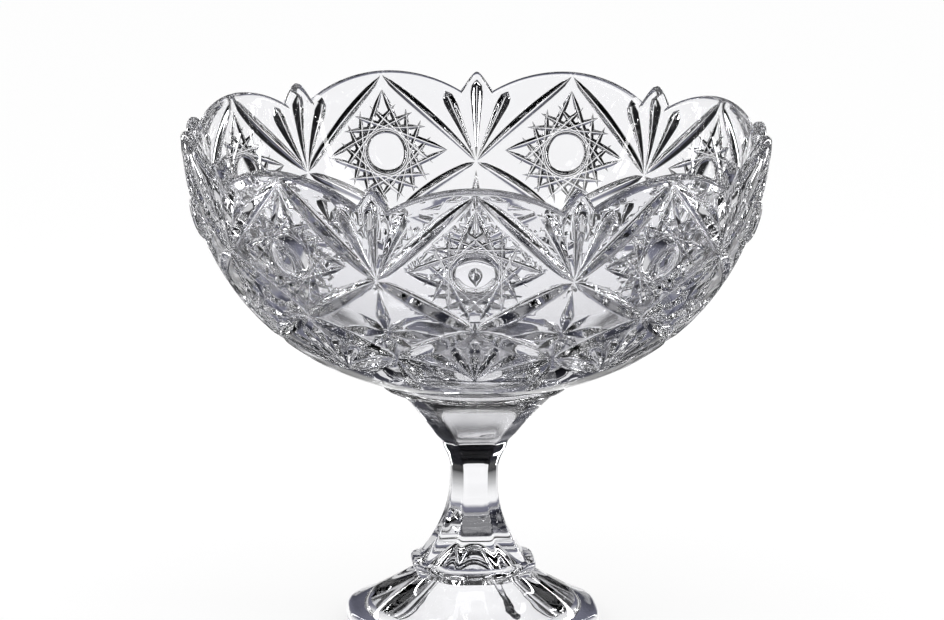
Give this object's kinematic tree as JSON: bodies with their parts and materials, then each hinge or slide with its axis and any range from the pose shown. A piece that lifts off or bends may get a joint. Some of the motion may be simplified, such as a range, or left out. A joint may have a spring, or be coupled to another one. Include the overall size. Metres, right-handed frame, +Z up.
{
  "type": "footed fruit bowl",
  "caption": "Clear pressed-glass fruit bowl with a scalloped rim and a hobstar and fan cut pattern, bonded to a faceted pedestal foot; stands on a table and holds fruit.",
  "frame": {"origin": "centre of the foot's underside, on the table", "axes": "+Z up the pedestal's axis to the rim, -Y towards the pictured front, where a scallop faces"},
  "size_m": [0.2282, 0.2284, 0.2],
  "materials": {
    "clear_glass": "clear, fire-polished pressed glass",
    "cured_film": "clear cured adhesive"
  },
  "bodies": {
    "root": {"bowl": "clear_glass", "bond_film": "cured_film", "pedestal": "clear_glass"}
  },
  "joints": []
}
